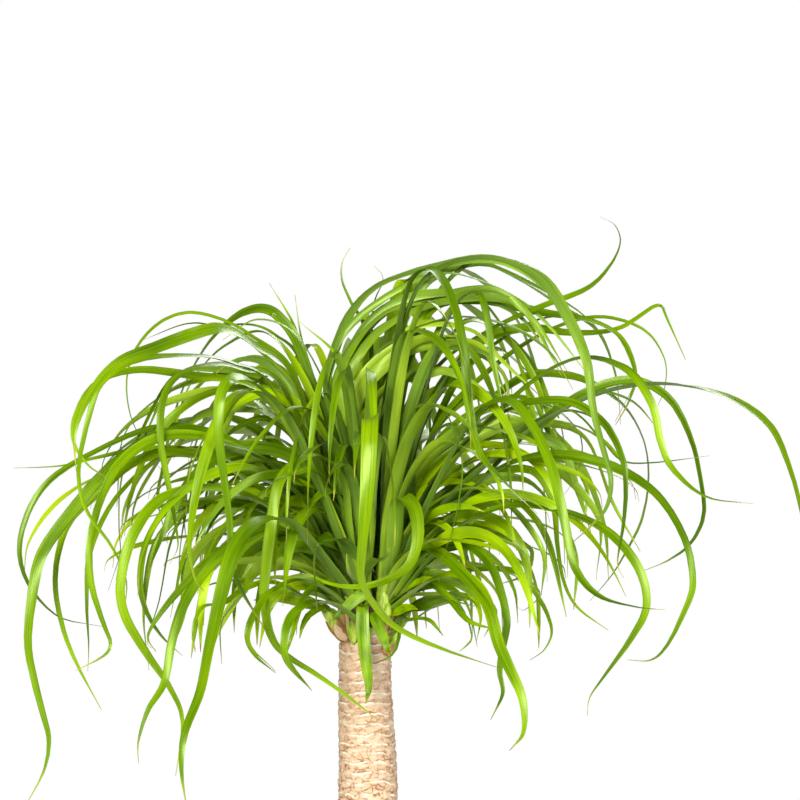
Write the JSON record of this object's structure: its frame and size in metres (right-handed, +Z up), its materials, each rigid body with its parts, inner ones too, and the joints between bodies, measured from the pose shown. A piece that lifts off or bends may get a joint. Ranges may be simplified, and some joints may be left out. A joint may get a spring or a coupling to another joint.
{
  "type": "potted ponytail palm",
  "caption": "Ponytail palm with a slim ringed trunk on a swollen foot and a crown of long arching strap leaves, in a plain tapered clay pot.",
  "frame": {"origin": "centre of the pot's flat underside, on the surface that it stands on", "axes": "+Z up along the trunk, -Y towards the picture's viewer, +X to the viewer's right"},
  "size_m": [0.8026, 0.6778, 1.123],
  "materials": {
    "clay": "matte",
    "compost": "matte",
    "bark": "matte",
    "leaf": "satin"
  },
  "bodies": {
    "root": {"pot": "clay", "potting_soil": "compost", "trunk": "bark", "leafy_head_left": "leaf", "leafy_head_front": "leaf", "leafy_head_front_right": "leaf", "leafy_head_right": "leaf", "leafy_head_back": "leaf", "leafy_head_back_left": "leaf"}
  },
  "joints": []
}
